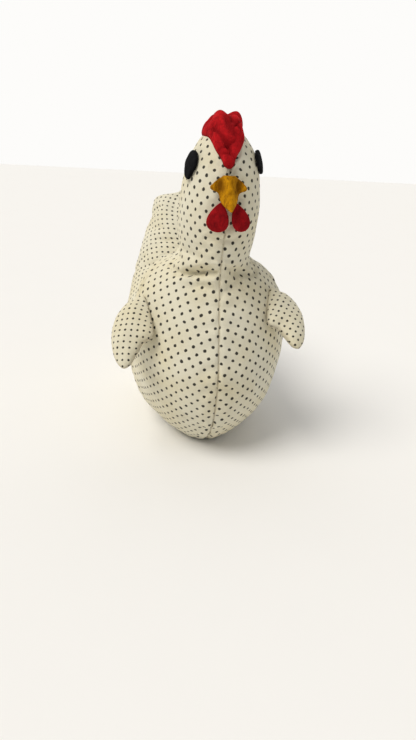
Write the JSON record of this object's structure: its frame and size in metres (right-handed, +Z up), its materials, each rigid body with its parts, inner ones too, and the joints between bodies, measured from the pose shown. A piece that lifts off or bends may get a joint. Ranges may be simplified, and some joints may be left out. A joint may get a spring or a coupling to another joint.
{
  "type": "stuffed toy chicken",
  "caption": "Small sewn and stuffed toy chicken of dotted cotton, sitting on a flat base, with felt comb, beak, wattles and eyes and soft side wings.",
  "frame": {"origin": "on the flat underside, on the line the base thread and base panel are centred across", "axes": "+Z up, the chicken faces -Y, +X is the chicken's own left"},
  "size_m": [0.0768, 0.1228, 0.136],
  "materials": {
    "cotton": "cream cotton with small black dots, matt",
    "filling": "white polyester fibre, matt",
    "red_felt": "thick bright red wool felt, matt",
    "dark_red_felt": "deep red wool felt, matt",
    "gold_felt": "mustard wool felt, matt",
    "black_felt": "black felt, matt",
    "thread": "cream sewing thread, matt"
  },
  "bodies": {
    "torso": {"body_filling": "filling", "base_panel": "cotton", "front_panel_left": "cotton", "front_panel_right": "cotton", "back_panel_left": "cotton", "back_panel_right": "cotton", "centre_front_thread": "thread", "centre_back_thread": "thread", "side_seam_thread": "thread", "base_seam_thread": "thread"},
    "head": {"head_filling": "filling", "comb": "red_felt", "beak": "gold_felt", "eye_left": "black_felt", "eye_right": "black_felt"},
    "tail": {"tail_filling": "filling"},
    "left_wing": {"wing_left_upper": "cotton", "wing_left_under": "cotton", "wing_left_filling": "filling"},
    "right_wing": {"wing_right_upper": "cotton", "wing_right_under": "cotton", "wing_right_filling": "filling"},
    "left_wattle": {"wattle_left": "dark_red_felt"},
    "right_wattle": {"wattle_right": "dark_red_felt"}
  },
  "joints": [
    {"name": "neck_nod", "type": "hinge", "parent": "torso", "child": "head", "pos_m": [0, -0.0145, 0.082], "axis": [1, 0, 0], "range_deg": [-18, 18], "stiffness_Nm_per_rad": 0.4, "deforming": ["front_panel_left", "front_panel_right", "centre_front_thread"]},
    {"name": "tail_bend", "type": "hinge", "parent": "torso", "child": "tail", "pos_m": [0, 0.05, 0.051], "axis": [1, 0, 0], "range_deg": [-12, 12], "stiffness_Nm_per_rad": 0.5, "deforming": ["back_panel_left", "back_panel_right", "centre_back_thread"]},
    {"name": "wing_left_flap", "type": "hinge", "parent": "torso", "child": "left_wing", "pos_m": [0.02326, -0.02804, 0.06514], "axis": [-0.1711, -0.7925, -0.5854], "range_deg": [-25, 45], "stiffness_Nm_per_rad": 0.02},
    {"name": "wing_right_flap", "type": "hinge", "parent": "torso", "child": "right_wing", "pos_m": [-0.02809, -0.02657, 0.05991], "axis": [-0.1711, 0.7925, 0.5854], "range_deg": [-15, 45], "stiffness_Nm_per_rad": 0.02},
    {"name": "wattle_left_swing", "type": "hinge", "parent": "head", "child": "left_wattle", "pos_m": [0.0031, -0.0377, 0.1058], "axis": [-1, 0, 0], "range_deg": [0, 30], "stiffness_Nm_per_rad": 0.0005},
    {"name": "wattle_right_swing", "type": "hinge", "parent": "head", "child": "right_wattle", "pos_m": [-0.0019, -0.0377, 0.1058], "axis": [-1, 0, 0], "range_deg": [0, 30], "stiffness_Nm_per_rad": 0.0005}
  ]
}
